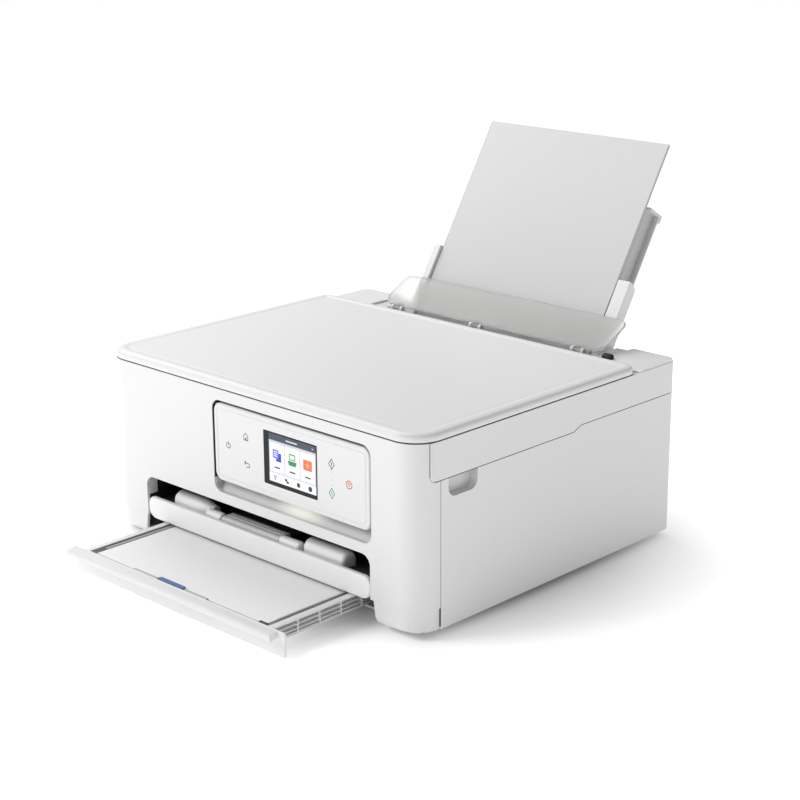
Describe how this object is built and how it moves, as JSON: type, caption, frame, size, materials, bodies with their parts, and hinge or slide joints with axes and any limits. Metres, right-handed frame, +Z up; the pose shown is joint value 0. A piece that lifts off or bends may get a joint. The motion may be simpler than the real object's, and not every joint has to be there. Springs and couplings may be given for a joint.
{
  "type": "inkjet printer with flatbed scanner",
  "caption": "Desktop inkjet printer with a flatbed scanner lid, tilting control panel with touch screen, front paper cassette, output tray and rear sheet feed.",
  "frame": {"origin": "floor level under the middle of the bounding box", "axes": "+X to the right seen from the front, +Y to the rear, +Z up; the control panel faces -Y"},
  "size_m": [0.376, 0.513, 0.326],
  "materials": {
    "white_case": "fine satin texture",
    "light_plastic": "satin",
    "grey_plastic": "satin",
    "dark_plastic": "satin",
    "black_rubber": "dull",
    "steel": "cold-rolled sheet",
    "plated_metal": "dull nickel plate",
    "screen": "glossy",
    "bed_glass": "polished",
    "frosted_plastic": "frosted, see-through",
    "paper": "uncoated paper",
    "blue_plastic": "satin",
    "circuit_board": "solder mask",
    "felt": "felt"
  },
  "bodies": {
    "base": {"base_tray": "white_case", "foot_front_left": "black_rubber", "foot_rear_left": "black_rubber", "foot_front_right": "black_rubber", "foot_rear_right": "black_rubber", "left_cover": "white_case", "right_cover": "white_case", "rear_cover": "white_case", "power_inlet": "dark_plastic", "usb_port": "plated_metal", "front_cover": "white_case", "panel_recess": "white_case", "output_frame": "dark_plastic", "main_chassis": "steel", "guide_shaft": "steel", "platen": "dark_plastic", "paper_turn_guide": "dark_plastic", "feed_motor": "steel", "purge_unit": "dark_plastic", "carriage_belt": "black_rubber", "carriage_motor": "steel", "main_board": "circuit_board", "power_supply": "dark_plastic", "ink_absorber": "felt", "feeder_housing": "light_plastic", "rear_tray": "light_plastic"},
    "scanner_unit": {"scanner_case": "white_case", "scanner_tray": "dark_plastic", "platen_glass": "bed_glass"},
    "scan_bar": {"scan_bar": "dark_plastic"},
    "lid_hinges": {"lid_hinge_left": "grey_plastic", "lid_hinge_right": "grey_plastic"},
    "document_cover": {"document_cover": "white_case", "document_pad": "felt"},
    "control_panel": {"control_panel": "white_case", "touch_screen": "screen"},
    "output_tray": {"output_tray": "white_case"},
    "output_support": {"output_support": "light_plastic"},
    "cassette": {"cassette": "white_case", "cassette_paper": "paper", "cassette_front_guide": "blue_plastic"},
    "cassette_guide_left": {"cassette_guide_left": "grey_plastic"},
    "cassette_guide_right": {"cassette_guide_right": "grey_plastic"},
    "rear_guide_left": {"rear_guide_left": "white_case"},
    "rear_guide_right": {"rear_guide_right": "white_case"},
    "paper_support": {"paper_support": "light_plastic"},
    "rear_paper": {"rear_paper": "paper"},
    "feed_slot_cover": {"feed_slot_cover": "frosted_plastic"},
    "carriage": {"carriage": "dark_plastic", "black_cartridge": "dark_plastic", "color_cartridge": "grey_plastic"},
    "motor_pulley": {"motor_pulley": "plated_metal"},
    "idler_pulley": {"idler_pulley": "light_plastic"},
    "feed_roller": {"feed_roller": "dark_plastic"},
    "eject_roller": {"eject_roller": "dark_plastic"},
    "idler_gear": {"idler_gear": "light_plastic"},
    "motor_pinion": {"motor_pinion": "plated_metal"},
    "pickup_arm": {"pickup_arm": "grey_plastic"},
    "pickup_roller": {"pickup_roller": "black_rubber"},
    "rear_feed_roller": {"rear_feed_roller": "black_rubber"}
  },
  "joints": [
    {"name": "scanner_unit_hinge", "type": "hinge", "parent": "base", "child": "scanner_unit", "pos_m": [0, 0.16, 0.1345], "axis": [-1, 0, 0], "range_deg": [0, 40]},
    {"name": "scan_bar_slide", "type": "slide", "parent": "scanner_unit", "child": "scan_bar", "axis": [1, 0, 0], "range_m": [0, 0.29]},
    {"name": "lid_lift", "type": "slide", "parent": "scanner_unit", "child": "lid_hinges", "axis": [0, 0, 1], "range_m": [0, 0.006]},
    {"name": "lid_hinge", "type": "hinge", "parent": "lid_hinges", "child": "document_cover", "pos_m": [0, 0.1036, 0.1632], "axis": [-1, 0, 0], "range_deg": [0, 80]},
    {"name": "panel_tilt", "type": "hinge", "parent": "base", "child": "control_panel", "pos_m": [0, -0.1586, 0.1446], "axis": [-1, 0, 0], "range_deg": [0, 45]},
    {"name": "output_tray_slide", "type": "slide", "parent": "base", "child": "output_tray", "axis": [0, -1, 0], "range_m": [0, 0.1]},
    {"name": "output_support_hinge", "type": "hinge", "parent": "output_tray", "child": "output_support", "pos_m": [0, -0.1535, 0.0406], "axis": [1, 0, 0], "range_deg": [0, 20]},
    {"name": "cassette_slide", "type": "slide", "parent": "base", "child": "cassette", "axis": [0, -1, 0], "range_m": [0, 0.2]},
    {"name": "cassette_guide_right_slide", "type": "slide", "parent": "cassette", "child": "cassette_guide_right", "axis": [1, 0, 0], "range_m": [0, 0.003]},
    {"name": "cassette_guide_left_slide", "type": "slide", "parent": "cassette", "child": "cassette_guide_left", "axis": [-1, 0, 0], "range_m": [0, 0.003]},
    {"name": "rear_guide_right_slide", "type": "slide", "parent": "base", "child": "rear_guide_right", "axis": [1, 0, 0], "range_m": [0, 0.003]},
    {"name": "rear_guide_left_slide", "type": "slide", "parent": "base", "child": "rear_guide_left", "axis": [-1, 0, 0], "range_m": [0, 0.003]},
    {"name": "paper_support_slide", "type": "slide", "parent": "base", "child": "paper_support", "axis": [0, 0.5299, 0.848], "range_m": [-0.045, 0]},
    {"name": "rear_paper_slide", "type": "slide", "parent": "base", "child": "rear_paper", "axis": [0, 0.5299, 0.848], "range_m": [0, 0.16]},
    {"name": "feed_cover_hinge", "type": "hinge", "parent": "base", "child": "feed_slot_cover", "pos_m": [0, 0.121, 0.1626], "axis": [-1, 0, 0], "range_deg": [-60, 0]},
    {"name": "carriage_slide", "type": "slide", "parent": "base", "child": "carriage", "axis": [1, 0, 0], "range_m": [-0.236, 0]},
    {"name": "motor_pulley_spin", "type": "hinge", "parent": "base", "child": "motor_pulley", "pos_m": [-0.156, 0.063, 0.11], "axis": [0, -1, 0], "range_deg": [-1700, 0]},
    {"name": "idler_pulley_spin", "type": "hinge", "parent": "base", "child": "idler_pulley", "pos_m": [0.156, 0.063, 0.11], "axis": [0, -1, 0], "range_deg": [-1700, 0]},
    {"name": "feed_roller_spin", "type": "hinge", "parent": "base", "child": "feed_roller", "pos_m": [0, 0.04, 0.07], "axis": [1, 0, 0], "continuous": true},
    {"name": "eject_roller_spin", "type": "hinge", "parent": "base", "child": "eject_roller", "pos_m": [0, -0.04, 0.07], "axis": [1, 0, 0], "continuous": true},
    {"name": "idler_gear_spin", "type": "hinge", "parent": "base", "child": "idler_gear", "pos_m": [0, 0, 0.07], "axis": [1, 0, 0], "continuous": true},
    {"name": "motor_pinion_spin", "type": "hinge", "parent": "base", "child": "motor_pinion", "pos_m": [0, 0.04, 0.04], "axis": [1, 0, 0], "continuous": true},
    {"name": "pickup_arm_hinge", "type": "hinge", "parent": "base", "child": "pickup_arm", "pos_m": [0, 0.0615, 0.039], "axis": [-1, 0, 0], "range_deg": [0, 8]},
    {"name": "pickup_roller_spin", "type": "hinge", "parent": "pickup_arm", "child": "pickup_roller", "pos_m": [0, 0.032, 0.033], "axis": [1, 0, 0], "continuous": true},
    {"name": "rear_feed_roller_spin", "type": "hinge", "parent": "base", "child": "rear_feed_roller", "pos_m": [0, 0.09266, 0.09307], "axis": [1, 0, 0], "continuous": true}
  ],
  "couplings": [
    {"joint": "cassette_guide_left_slide", "follows": "cassette_guide_right_slide", "ratio": 1},
    {"joint": "rear_guide_left_slide", "follows": "rear_guide_right_slide", "ratio": 1},
    {"joint": "motor_pulley_spin", "follows": "carriage_slide", "rad_per_m": 125},
    {"joint": "idler_pulley_spin", "follows": "carriage_slide", "rad_per_m": 125},
    {"joint": "eject_roller_spin", "follows": "feed_roller_spin", "ratio": 1},
    {"joint": "idler_gear_spin", "follows": "feed_roller_spin", "ratio": -1},
    {"joint": "motor_pinion_spin", "follows": "feed_roller_spin", "ratio": -2}
  ]
}
